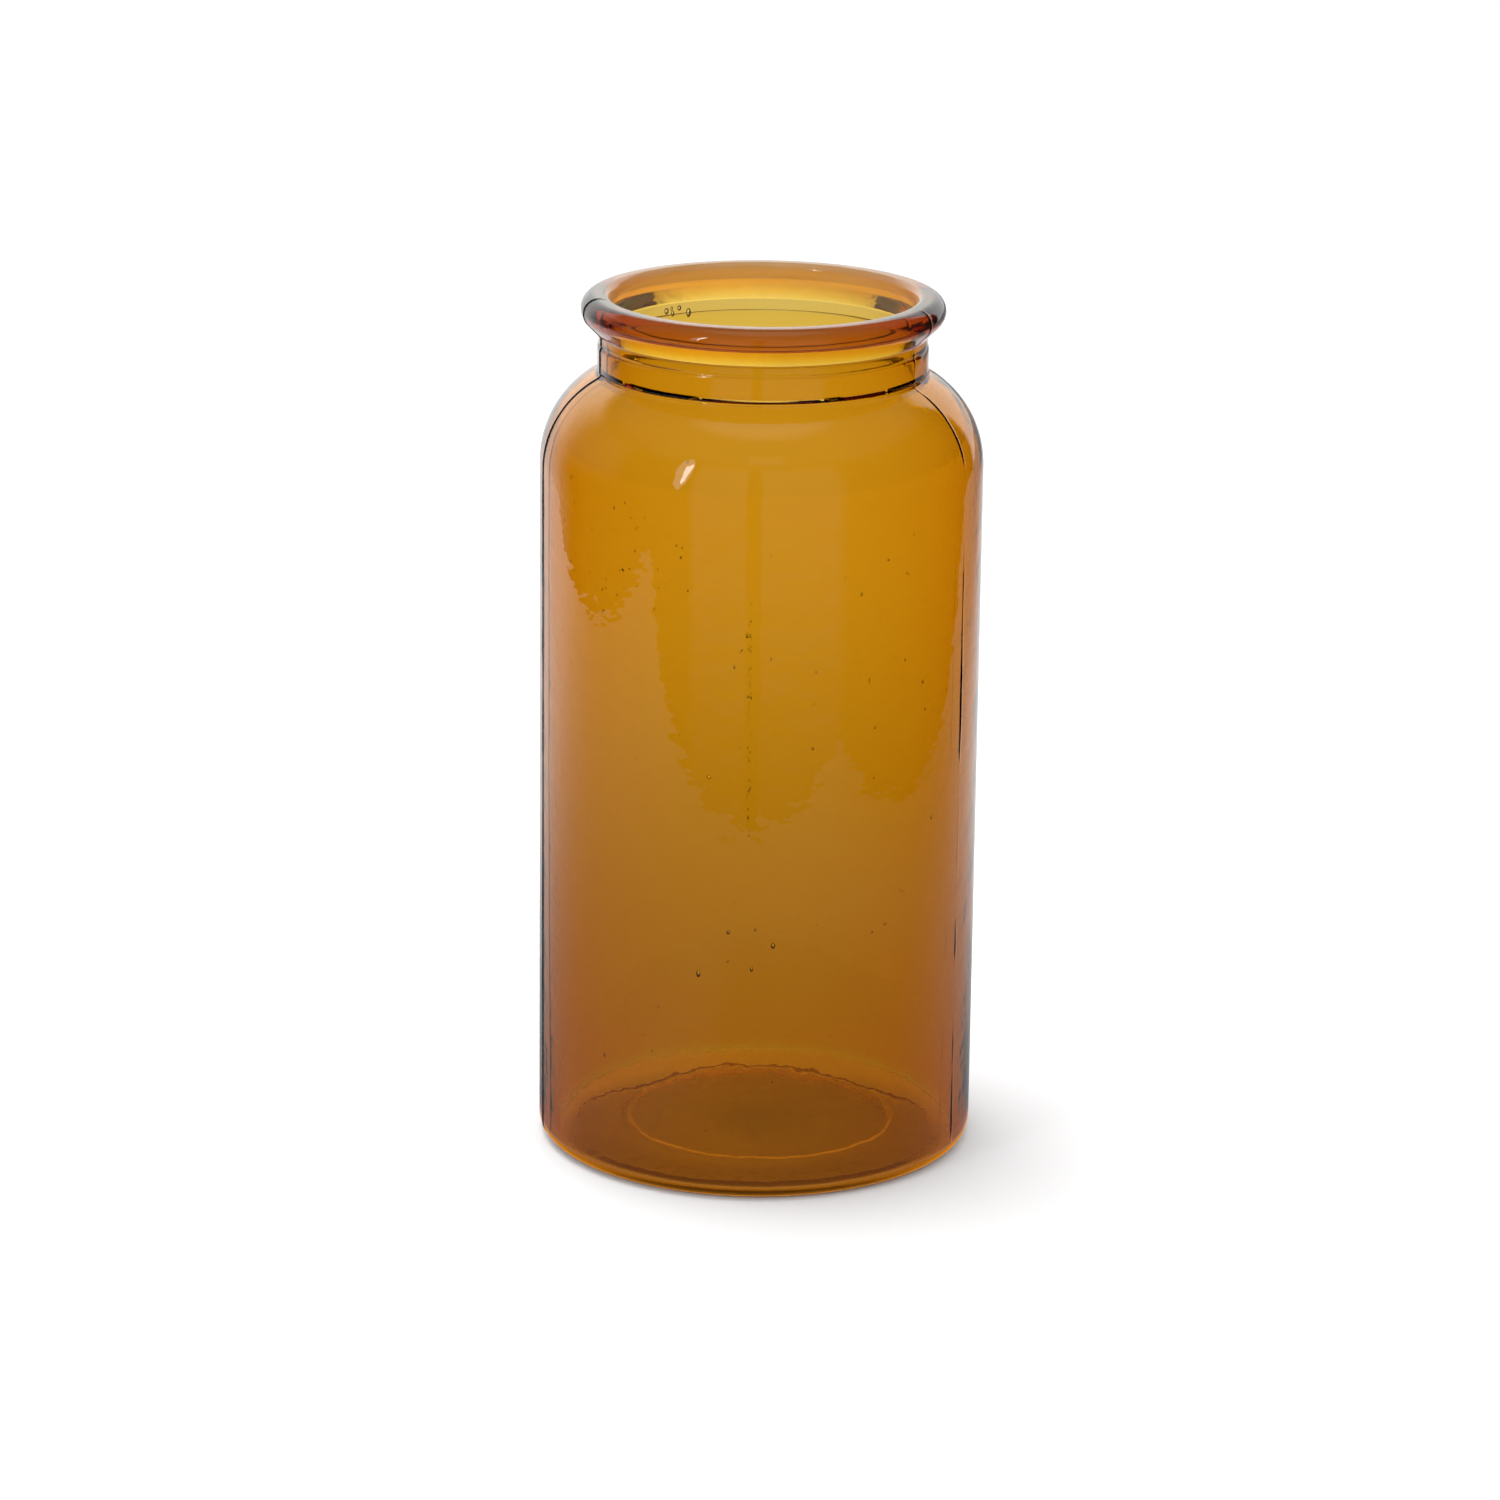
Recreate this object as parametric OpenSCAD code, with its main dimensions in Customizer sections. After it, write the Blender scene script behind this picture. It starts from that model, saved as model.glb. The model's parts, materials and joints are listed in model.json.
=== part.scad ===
// Wide-mouthed apothecary jar, blown in one piece from amber glass.
// The jar stands on z = 0 with its axis on Z. Lengths are in millimetres.

/* [Body] */
// Height from the table to the crest of the rim
jar_h = 300; // [260:1:400]
// Outside diameter of the body
body_d = 152; // [144:1:170]
// Wall thickness of the body
wall = 4.2; // [3:0.1:5.5]
// Extra wall thickness at the foot, where the glass settles
wall_settle = 1.7; // [0.3:0.1:2.5]
// Height that the wall thickens from, going down
settle_top = 175; // [120:5:190]
// Radius of the shoulder's curve
shoulder_r = 34.5; // [30:0.5:38]
// Loss of wall thickness at the top of the shoulder, measured upright
shoulder_thinning = 0.8; // [0:0.1:1.5]

/* [Neck and rim] */
// Outside diameter of the neck
neck_d = 112.2; // [110:0.2:118]
// Diameter of the mouth, which is a straight bore
mouth_d = 104.2; // [100:0.2:105]
// Height of the mould joint on the neck below the rim's crest
neck_joint_drop = 17; // [17:0.5:22]
// Outward step of the glass below the mould joint
neck_joint_step = 0.35; // [0.1:0.05:0.6]
// Outside diameter of the rolled rim
rim_d = 124.3; // [122:0.1:127]
// Radius of the rim's outer curve
rim_r = 5; // [4:0.1:5.2]
// Radius of the rim's inner edge, at the mouth
lip_r = 2.5; // [1.5:0.1:3]

/* [Foot] */
// Radius of the curve between the wall and the foot
heel_r = 6.5; // [4:0.1:9]
// Radius of the curve inside the jar, between the wall and the floor
floor_corner_r = 2; // [1.5:0.5:8]
// Thickness of the floor in its middle
floor_t = 4.6; // [4:0.1:8]
// Thickness of the floor beside its corner
floor_edge_t = 3.2; // [2.8:0.1:4]
// Diameter of the recess in the underside
recess_d = 93; // [80:1:100]
// Depth of the recess at its edge
recess_step = 0.3; // [0.2:0.1:0.8]
// Depth of the recess at its centre
recess_depth = 1.3; // [1:0.1:2.5]

/* [Hidden] */
$fn = 180;

body_r = body_d / 2;
neck_r = neck_d / 2;
mouth_r = mouth_d / 2;
recess_r = recess_d / 2;
recess_edge = 1;
joint_edge = 0.3;
neck_fillet_r = 1.5;
mouth_corner_r = 5;
floor_flat_r = 50;
arc_step = 6;
settle_steps = 8;

// The shoulder's curve ends on the neck, and its centre sets the top of the straight wall.
neck_root_drop = 27;
neck_low_r = neck_r + neck_joint_step;
shoulder_c = [body_r - shoulder_r, jar_h - neck_root_drop
              - sqrt(pow(shoulder_r, 2) - pow(neck_low_r - body_r + shoulder_r, 2))];

// The fillet between shoulder and neck touches both.
root_c = [neck_low_r + neck_fillet_r, shoulder_c.y
          + sqrt(pow(shoulder_r + neck_fillet_r, 2)
                 - pow(neck_low_r + neck_fillet_r - shoulder_c.x, 2))];
root_angle = atan2(root_c.y - shoulder_c.y, root_c.x - shoulder_c.x);

// The rim's underside slopes at 45 degrees from its outer curve to the neck.
rim_c = [rim_d / 2 - rim_r, jar_h - rim_r];
slope_top = rim_c + rim_r * [cos(-45), sin(-45)];
rim_root_z = slope_top.y - (slope_top.x - neck_r);
rim_fillet_c = [neck_r + neck_fillet_r, rim_root_z - neck_fillet_r * tan(22.5)];

lip_c = [mouth_r + lip_r, jar_h - lip_r];
joint_z = jar_h - neck_joint_drop;

// Inside, the shoulder follows the outer one at the wall's thickness.
inner_shoulder_r = shoulder_r - wall;
inner_shoulder_c = shoulder_c + [0, shoulder_thinning];
mouth_corner_c = [mouth_r + mouth_corner_r, inner_shoulder_c.y
                  + sqrt(pow(inner_shoulder_r + mouth_corner_r, 2)
                         - pow(mouth_r + mouth_corner_r - inner_shoulder_c.x, 2))];
mouth_corner_angle = atan2(mouth_corner_c.y - inner_shoulder_c.y,
                           mouth_corner_c.x - inner_shoulder_c.x);
inner_top_r = body_r - wall;
inner_foot_r = inner_top_r - wall_settle;
floor_corner_c = [inner_foot_r - floor_corner_r, floor_edge_t + floor_corner_r];

// Points along an arc round centre c, from one angle to another.
function arc(c, r, from, to) =
    let (steps = max(2, ceil(abs(to - from) / arc_step)))
    [for (i = [0 : steps]) let (a = from + (to - from) * i / steps) c + r * [cos(a), sin(a)]];

// Points along a shallow dome from its crown on the axis to its edge.
function dome(crown_z, edge) =
    let (steps = 8)
    [for (i = [0 : steps]) let (t = i / steps)
        [edge.x * t, crown_z + (edge.y - crown_z) * (1 - cos(90 * t)) ]];

// Points down the inner wall, which thickens more and more towards its foot.
function settled(top, foot) =
    [for (i = [0 : settle_steps]) let (t = i / settle_steps)
        [top.x + (foot.x - top.x) * t * t, top.y + (foot.y - top.y) * t]];

function reversed(points) = [for (i = [len(points) - 1 : -1 : 0]) points[i]];

// Underside: domed recess, its rounded edge, the ring that the jar stands on, and the heel.
foot_outline = concat(
    dome(recess_depth, [recess_r, recess_step]),
    [[recess_r + recess_edge, 0]],
    arc([body_r - heel_r, heel_r], heel_r, -90, 0)
);

// Straight wall, shoulder, neck with its mould joint, and the rolled rim, going up.
side_outline = concat(
    arc(shoulder_c, shoulder_r, 0, root_angle),
    reversed(arc(root_c, neck_fillet_r, 180, 180 + root_angle)),
    [[neck_low_r, joint_z], [neck_r, joint_z + joint_edge]],
    arc(rim_fillet_c, neck_fillet_r, 180, 135),
    arc(rim_c, rim_r, -45, 90)
);

// Lip, straight mouth, inner shoulder, inner wall and floor, going down.
inner_outline = concat(
    arc(lip_c, lip_r, 90, 180),
    arc(mouth_corner_c, mouth_corner_r, 180, 180 + mouth_corner_angle),
    reversed(arc(inner_shoulder_c, inner_shoulder_r, 0, mouth_corner_angle)),
    settled([inner_top_r, settle_top], [inner_foot_r, floor_corner_c.y]),
    reversed(arc(floor_corner_c, floor_corner_r, -90, 0)),
    [[floor_flat_r, floor_t], [0, floor_t]]
);

module jar() {
    color([0.72, 0.42, 0.06, 0.6])
        rotate_extrude()
            polygon(concat(foot_outline, side_outline, inner_outline));
}

jar();
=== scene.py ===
"""A wide-mouthed apothecary jar of amber moulded glass, standing on a pale studio table."""

import json
import logging
import math
from dataclasses import dataclass, field
from enum import Enum
from functools import partial, reduce
from typing import Any, ClassVar, Sequence

import bmesh
import bpy
from mathutils import Matrix, Vector


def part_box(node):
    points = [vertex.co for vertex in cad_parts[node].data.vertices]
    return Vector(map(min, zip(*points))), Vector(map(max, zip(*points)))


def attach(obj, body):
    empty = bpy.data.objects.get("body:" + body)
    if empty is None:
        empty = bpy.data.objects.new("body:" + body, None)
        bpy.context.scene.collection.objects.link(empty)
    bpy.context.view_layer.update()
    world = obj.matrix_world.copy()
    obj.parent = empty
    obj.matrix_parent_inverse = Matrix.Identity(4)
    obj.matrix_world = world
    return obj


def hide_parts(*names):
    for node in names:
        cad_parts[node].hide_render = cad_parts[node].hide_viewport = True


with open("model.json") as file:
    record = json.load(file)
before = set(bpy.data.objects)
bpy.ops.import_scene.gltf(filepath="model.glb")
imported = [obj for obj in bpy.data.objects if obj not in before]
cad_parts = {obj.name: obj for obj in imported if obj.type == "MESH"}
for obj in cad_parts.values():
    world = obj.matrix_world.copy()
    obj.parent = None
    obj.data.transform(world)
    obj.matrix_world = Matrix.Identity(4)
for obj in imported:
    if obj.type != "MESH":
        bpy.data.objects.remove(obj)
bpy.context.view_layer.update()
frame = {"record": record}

LOG = logging.getLogger("jar")
ROOT_BODY = "root"
JAR_NODE = "jar"
MM = 0.001

Point = tuple[float, float]
Ramp = tuple[float, float]
Colour = tuple[float, float, float]


class Skin(Enum):
    """Which side of the glass a stretch of the section belongs to."""

    FOOT = 0
    OUTSIDE = 1
    INSIDE = 2
    FLOOR = 3


# --------------------------------------------------------------------------------------
# Node trees
# --------------------------------------------------------------------------------------


class NodeBook:
    """Writes nodes and links into one node tree, for geometry or for shading."""

    def __init__(self, tree: bpy.types.NodeTree) -> None:
        """Starts a book for a tree.

        Args:
            tree: The node tree to write in.
        """
        self.tree = tree

    def add(self, kind: str, inputs: dict[str | int, Any] | None = None, **settings: Any) -> bpy.types.Node:
        """Adds one node.

        Args:
            kind: The node's type name in Blender.
            inputs: Values or sockets for its inputs, by name or position.
            **settings: Properties of the node, such as its operation.

        Returns:
            The new node.
        """
        node = self.tree.nodes.new(kind)
        for name, value in settings.items():
            setattr(node, name, value)
        for key, value in (inputs or {}).items():
            self.put(node.inputs[key], value)
        return node

    def put(self, socket: bpy.types.NodeSocket, value: Any) -> None:
        """Gives an input socket a value, or links another socket to it.

        Args:
            socket: The input socket.
            value: A plain value, or the output socket that feeds it.
        """
        if isinstance(value, bpy.types.NodeSocket):
            self.tree.links.new(value, socket)
        else:
            socket.default_value = value

    def math(self, operation: str, *values: Any) -> bpy.types.NodeSocket:
        """Adds a Math node, with numbers or sockets in its own order, and returns its result."""
        return self.add("ShaderNodeMath", dict(enumerate(values)), operation=operation).outputs[0]

    def vector(self, operation: str, *values: Any) -> bpy.types.NodeSocket:
        """Adds a Vector Math node and returns its vector. SCALE takes its number second."""
        keys = (0, "Scale") if operation == "SCALE" else range(len(values))
        return self.add("ShaderNodeVectorMath", dict(zip(keys, values)), operation=operation).outputs[0]

    def times(self, *values: Any) -> bpy.types.NodeSocket:
        """Multiplies numbers or sockets together, one after another."""
        return reduce(partial(self.math, "MULTIPLY"), values)

    def plus(self, *values: Any) -> bpy.types.NodeSocket:
        """Adds numbers or sockets up, one after another."""
        return reduce(partial(self.math, "ADD"), values)

    def rest(self, share: Any) -> bpy.types.NodeSocket:
        """What a share leaves of 1."""
        return self.math("SUBTRACT", 1.0, share)

    def bell(self, value: Any) -> bpy.types.NodeSocket:
        """A smooth bell over a number, 1 at zero and almost nothing past 2."""
        return self.math("EXPONENT", self.times(value, value, -1.0))

    def combine(self, x: Any, y: Any, z: Any) -> bpy.types.NodeSocket:
        """Makes a vector of three numbers or sockets, and returns its socket."""
        return self.add("ShaderNodeCombineXYZ", {0: x, 1: y, 2: z}).outputs[0]

    def split(self, vector: Any) -> list[bpy.types.NodeSocket]:
        """The sockets of a vector's three numbers."""
        return list(self.add("ShaderNodeSeparateXYZ", {0: vector}).outputs)

    def length(self, vector: Any) -> bpy.types.NodeSocket:
        """The length of a vector."""
        return self.add("ShaderNodeVectorMath", {0: vector}, operation="LENGTH").outputs["Value"]

    def place(self) -> bpy.types.NodeSocket:
        """The place on a piece, from its origin, for a material's tree."""
        return self.add("ShaderNodeTexCoord").outputs["Object"]

    def noise(self, place: Any, scale: float, detail: float, seed: float) -> bpy.types.NodeSocket:
        """Adds smooth noise from -0.5 to 0.5, with its scale in waves to the metre and a fixed seed."""
        texture = self.add(
            "ShaderNodeTexNoise",
            {"Vector": place, "W": seed, "Scale": scale, "Detail": detail},
            noise_dimensions="4D",
        )
        return self.math("SUBTRACT", texture.outputs[0], 0.5)

    def smooth_step(self, value: Any, low: Any, high: Any) -> bpy.types.NodeSocket:
        """Adds a smooth ramp from 0 at low to 1 at high."""
        ramp = self.add("ShaderNodeMapRange", {0: value, 1: low, 2: high}, interpolation_type="SMOOTHSTEP")
        return ramp.outputs[0]


class GeometryBook(NodeBook):
    """A geometry node tree with named inputs, run once as a modifier and then made a plain mesh."""

    SOCKETS = {
        int: "NodeSocketInt",
        float: "NodeSocketFloat",
        bpy.types.Material: "NodeSocketMaterial",
    }

    def __init__(self, name: str, sizes: dict[str, Any]) -> None:
        """Makes the tree with an input for each size.

        Args:
            name: The tree's name.
            sizes: The inputs' names and values.
        """
        super().__init__(bpy.data.node_groups.new(name, "GeometryNodeTree"))
        self.sizes = sizes
        face = self.tree.interface
        face.new_socket("Geometry", in_out="INPUT", socket_type="NodeSocketGeometry")
        for label, value in sizes.items():
            kind = next(code for plain, code in self.SOCKETS.items() if isinstance(value, plain))
            face.new_socket(label, in_out="INPUT", socket_type=kind)
        face.new_socket("Geometry", in_out="OUTPUT", socket_type="NodeSocketGeometry")
        self.input = self.tree.nodes.new("NodeGroupInput")
        self.output = self.tree.nodes.new("NodeGroupOutput")

    def size(self, label: str) -> bpy.types.NodeSocket:
        """The socket of a named input."""
        return self.input.outputs[label]

    def end(self, geometry: bpy.types.NodeSocket) -> None:
        """Ends the tree: instances are made real and get the material.

        Args:
            geometry: The geometry that the tree makes.
        """
        real = self.add("GeometryNodeRealizeInstances", {"Geometry": geometry}).outputs[0]
        dressed = self.add("GeometryNodeSetMaterial", {"Geometry": real, "Material": self.size("Material")})
        self.put(self.output.inputs[0], dressed.outputs[0])

    def run(self, carrier: bpy.types.Object) -> bpy.types.Mesh:
        """Runs the tree on an object and removes it again.

        Args:
            carrier: The object whose mesh the tree starts from.

        Returns:
            The result as a plain mesh.
        """
        modifier = carrier.modifiers.new(self.tree.name, "NODES")
        modifier.node_group = self.tree
        for item in self.tree.interface.items_tree:
            if item.in_out == "INPUT" and item.name in self.sizes:
                modifier[item.identifier] = self.sizes[item.name]
        graph = bpy.context.evaluated_depsgraph_get()
        mesh = bpy.data.meshes.new_from_object(carrier.evaluated_get(graph), depsgraph=graph)
        carrier.modifiers.remove(modifier)
        return mesh


# --------------------------------------------------------------------------------------
# Finishes
# --------------------------------------------------------------------------------------


@dataclass(frozen=True)
class AmberGlass:
    """Clear amber glass, tinted by its depth, with soft unevenness, a scuffed foot and a pale bloom.

    A ramp gives the radii or the heights where a mark begins and where it is full.
    """

    name: str = "amber_glass"
    index: float = 1.51
    tint: Colour = (0.938, 0.772, 0.01)
    density: float = 580.0
    scuff: float = 0.85
    recess_scuff: float = 0.5
    scuff_height: Ramp = (3 * MM, 1.5 * MM)
    scuff_reach: Ramp = (72 * MM, 69.5 * MM)
    recess_reach: Ramp = (46 * MM, 49 * MM)
    orange_peel: float = 0.1 * MM
    bloom: float = 0.11
    bloom_colour: Colour = (0.9, 0.88, 0.66)
    bore_reach: Ramp = (55.6 * MM, 54.5 * MM)
    bore_height: Ramp = (281 * MM, 287 * MM)
    lip_reach: Ramp = (59 * MM, 57 * MM)
    lip_height: Ramp = (298 * MM, 299.5 * MM)
    rim_bloom: float = 0.006
    rim_height: Ramp = (287 * MM, 291 * MM)

    def make(self) -> bpy.types.Material:
        """Builds the glass.

        Returns:
            The material.
        """
        material = bpy.data.materials.new(self.name)
        material.use_nodes = True
        book = NodeBook(material.node_tree)
        shader = material.node_tree.nodes["Principled BSDF"]
        output = material.node_tree.nodes["Material Output"]
        shader.inputs["Base Color"].default_value = (1, 1, 1, 1)
        shader.inputs["Transmission Weight"].default_value = 1.0
        shader.inputs["IOR"].default_value = self.index
        place = book.place()
        height = book.split(place)[2]
        grit = book.smooth_step(book.noise(place, 900.0, 3.0, 4.0), -0.8, 0.1)
        level = book.vector("MULTIPLY", place, (1.0, 1.0, 0.0))
        reach = book.length(level)
        foot = book.times(
            book.smooth_step(height, *self.scuff_height), book.smooth_step(reach, *self.scuff_reach))
        ring = book.smooth_step(reach, *self.recess_reach)
        scuff = book.math("MULTIPLY_ADD", ring, self.scuff - self.recess_scuff, self.recess_scuff)
        book.put(shader.inputs["Roughness"], book.times(foot, grit, scuff))
        lumps = book.plus(book.noise(place, 120.0, 2.0, 8.0), book.noise(place, 45.0, 1.0, 9.0))
        bump = book.add("ShaderNodeBump", {"Height": lumps, "Strength": 1.0, "Distance": self.orange_peel})
        book.put(shader.inputs["Normal"], bump.outputs[0])
        absorption = book.add(
            "ShaderNodeVolumeAbsorption", {"Color": (*self.tint, 1), "Density": self.density}
        )
        book.put(output.inputs["Volume"], absorption.outputs[0])
        film = book.add("ShaderNodeBsdfDiffuse", {"Color": (*self.bloom_colour, 1)})
        share = self.film(book, place, height, reach)
        mixed = book.add("ShaderNodeMixShader", {0: share, 1: shader.outputs[0], 2: film.outputs[0]})
        book.put(output.inputs["Surface"], mixed.outputs[0])
        return material

    def film(self, book: NodeBook, place: bpy.types.NodeSocket, height: bpy.types.NodeSocket,
             reach: bpy.types.NodeSocket) -> bpy.types.NodeSocket:
        """Works out how much pale bloom lies on the glass: most in the mouth, a little on the rim.

        Args:
            book: The material's tree.
            place: The place on the glass.
            height: Its height.
            reach: Its distance from the axis.

        Returns:
            The bloom's share.
        """
        bore, lip = (
            book.times(book.smooth_step(reach, *radii), book.smooth_step(height, *heights))
            for radii, heights in ((self.bore_reach, self.bore_height), (self.lip_reach, self.lip_height))
        )
        streaks = book.noise(book.vector("MULTIPLY", place, (0.12, 0.12, 1.0)), 900.0, 3.0, 6.0)
        bloom = book.times(
            book.math("MAXIMUM", bore, lip), self.bloom, book.math("MULTIPLY_ADD", streaks, 1.2, 1.0))
        return book.plus(bloom, book.times(book.smooth_step(height, *self.rim_height), self.rim_bloom))


@dataclass(frozen=True)
class TablePaper:
    """Matt white paper on the studio table, with a faint tooth."""

    name: str = "table_paper"
    colour: Colour = (0.95, 0.95, 0.95)
    tooth: float = 0.015

    def make(self) -> bpy.types.Material:
        """Builds the paper.

        Returns:
            The material.
        """
        material = bpy.data.materials.new(self.name)
        material.use_nodes = True
        book = NodeBook(material.node_tree)
        shader = material.node_tree.nodes["Principled BSDF"]
        shader.inputs["Roughness"].default_value = 0.9
        shader.inputs["Specular IOR Level"].default_value = 0.2
        place = book.place()
        mottle = book.noise(place, 160.0, 4.0, 1.0)
        shade = book.math("MULTIPLY_ADD", mottle, self.tooth, 1.0)
        book.put(shader.inputs["Base Color"], book.vector("SCALE", self.colour, shade))
        return material


@dataclass(frozen=True)
class Glow:
    """An even light of one colour, for a card that only the glass shows."""

    name: str
    strength: float
    colour: Colour = (1.0, 1.0, 1.0)

    def make(self) -> bpy.types.Material:
        """Builds the light.

        Returns:
            The material.
        """
        material = bpy.data.materials.new(self.name)
        material.use_nodes = True
        nodes = material.node_tree.nodes
        nodes.remove(nodes["Principled BSDF"])
        book = NodeBook(material.node_tree)
        glow = book.add(
            "ShaderNodeEmission", {"Color": self.tone(book), "Strength": self.brightness(book)})
        book.put(nodes["Material Output"].inputs["Surface"], glow.outputs[0])
        return material

    def tone(self, book: NodeBook) -> Any:
        """The light's colour, as a value or as a socket of the material's tree."""
        return (*self.colour, 1)

    def brightness(self, book: NodeBook) -> Any:
        """The light's brightness, as a number or as a socket of the material's tree."""
        return self.strength

    def tinted(self, book: NodeBook, tint: Colour, share: bpy.types.NodeSocket) -> bpy.types.NodeSocket:
        """Lays a tint over the light's own colour, by its share at each place."""
        own = book.vector("SCALE", self.colour, book.rest(share))
        return book.vector("ADD", book.vector("SCALE", tint, share), own)


@dataclass(frozen=True)
class MirroredTable(Glow):
    """The white table as the glass mirrors it.

    It is bright at the back, shaded by the jar at the front, and amber close round the foot. A ramp
    gives the places where a change begins and where it is full.
    """

    back_strength: float = 0.95
    back_depth: Ramp = (-0.05, 0.45)
    left_gain: float = 0.14
    left_side: Ramp = (-0.2, -0.6)
    right_loss: float = 0.65
    right_side: Ramp = (0.25, 0.6)
    shade: float = 0.5
    shade_reach: Ramp = (0.42, 0.27)
    shade_depth: Ramp = (0.05, -0.1)
    shade_side: Ramp = (-0.14, -0.03)
    foot_colour: Colour = (1.0, 0.36, 0.03)
    foot_glow: float = 1.2
    foot_reach: Ramp = (83 * MM, 77 * MM)

    def near_foot(self, book: NodeBook) -> bpy.types.NodeSocket:
        """The share of a place that the light through the jar's foot reaches, 0 to 1."""
        return book.smooth_step(book.length(book.place()), *self.foot_reach)

    def tone(self, book: NodeBook) -> bpy.types.NodeSocket:
        """The table's colour: white, and amber where light comes through the foot."""
        return self.tinted(book, self.foot_colour, self.near_foot(book))

    def brightness(self, book: NodeBook) -> bpy.types.NodeSocket:
        """Works out how bright the table is at each place.

        Args:
            book: The material's tree.

        Returns:
            The brightness.
        """
        place = book.place()
        side, depth, _ = book.split(place)
        back = book.smooth_step(depth, *self.back_depth)
        lit = book.math("MULTIPLY_ADD", back, self.back_strength - self.strength, self.strength)
        lit = book.math("MULTIPLY_ADD", book.smooth_step(side, *self.left_side), self.left_gain, lit)
        right = book.smooth_step(side, *self.right_side)
        shaded = book.times(
            book.smooth_step(book.length(place), *self.shade_reach),
            book.smooth_step(depth, *self.shade_depth),
            book.smooth_step(side, *self.shade_side),
        )
        foot = self.near_foot(book)
        lit = book.times(
            lit,
            book.math("MULTIPLY_ADD", right, -self.right_loss, 1.0),
            book.math("MULTIPLY_ADD", shaded, -self.shade, 1.0),
            book.rest(foot),
        )
        return book.math("MULTIPLY_ADD", foot, self.foot_glow, lit)


@dataclass(frozen=True)
class TableThroughGlass(Glow):
    """The white table as it is seen through the glass.

    It is darker towards the jar and under it, and warmer there. A thin ring of light is painted on it, a
    little off the axis, under the edge of the recess, standing for the light that edge gathers. A ramp gives
    the places where a change begins and where it is full.
    """

    far_strength: float = 0.82
    far_reach: Ramp = (0.1, 0.9)
    under: float = 0.54
    under_colour: Colour = (1.0, 0.84, 0.55)
    under_reach: Ramp = (76 * MM, 66 * MM)
    shadow_shift: float = 20 * MM
    shadow_reach: Ramp = (78 * MM, 62 * MM)
    covered_reach: Ramp = (73 * MM, 62 * MM)
    middle: float = 0.35
    middle_reach: Ramp = (30 * MM, 0.0)
    ring_radius: float = 46.8 * MM
    ring_width: Ramp = (0.9 * MM, 0.27 * MM)
    ring_gain: float = 2.6
    ring_middle: Point = (2.3 * MM, 3.5 * MM)
    ring_stretch: float = 1.07
    ring_depth: Ramp = (10 * MM, -35 * MM)
    ring_back: float = 0.25

    def tone(self, book: NodeBook) -> bpy.types.NodeSocket:
        """The table's colour: white, and warmer where the jar's own glass lights it."""
        under = book.smooth_step(book.length(book.place()), *self.under_reach)
        return self.tinted(book, self.under_colour, under)

    def brightness(self, book: NodeBook) -> bpy.types.NodeSocket:
        """Works out how bright the table is at each place.

        Args:
            book: The material's tree.

        Returns:
            The brightness.
        """
        place = book.place()
        reach = book.length(place)
        far = book.smooth_step(reach, *self.far_reach)
        lit = book.math("MULTIPLY_ADD", far, self.far_strength - self.strength, self.strength)
        shadow = book.length(book.vector("ADD", place, (0.0, self.shadow_shift, 0.0)))
        covered = book.times(
            book.smooth_step(shadow, *self.shadow_reach), book.smooth_step(reach, *self.covered_reach))
        covered = book.math(
            "MULTIPLY_ADD", book.smooth_step(reach, *self.middle_reach), self.middle, covered)
        # Painted ring of light on the card: bright on a thin circle under the recess's edge, centred a little
        # off the axis and fainter towards the back.
        shifted = book.vector("SUBTRACT", place, (*self.ring_middle, 0.0))
        shifted = book.vector("MULTIPLY", shifted, (1.0, self.ring_stretch, 0.0))
        off = book.math("ABSOLUTE", book.math("SUBTRACT", book.length(shifted), self.ring_radius))
        front = book.smooth_step(book.split(place)[1], *self.ring_depth)
        ring = book.times(
            book.smooth_step(off, *self.ring_width),
            book.math("MULTIPLY_ADD", front, 1 - self.ring_back, self.ring_back),
        )
        return book.times(
            lit,
            book.math("MULTIPLY_ADD", covered, -self.under, 1.0),
            book.math("MULTIPLY_ADD", ring, self.ring_gain, 1.0),
        )


# --------------------------------------------------------------------------------------
# The jar
# --------------------------------------------------------------------------------------


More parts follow.
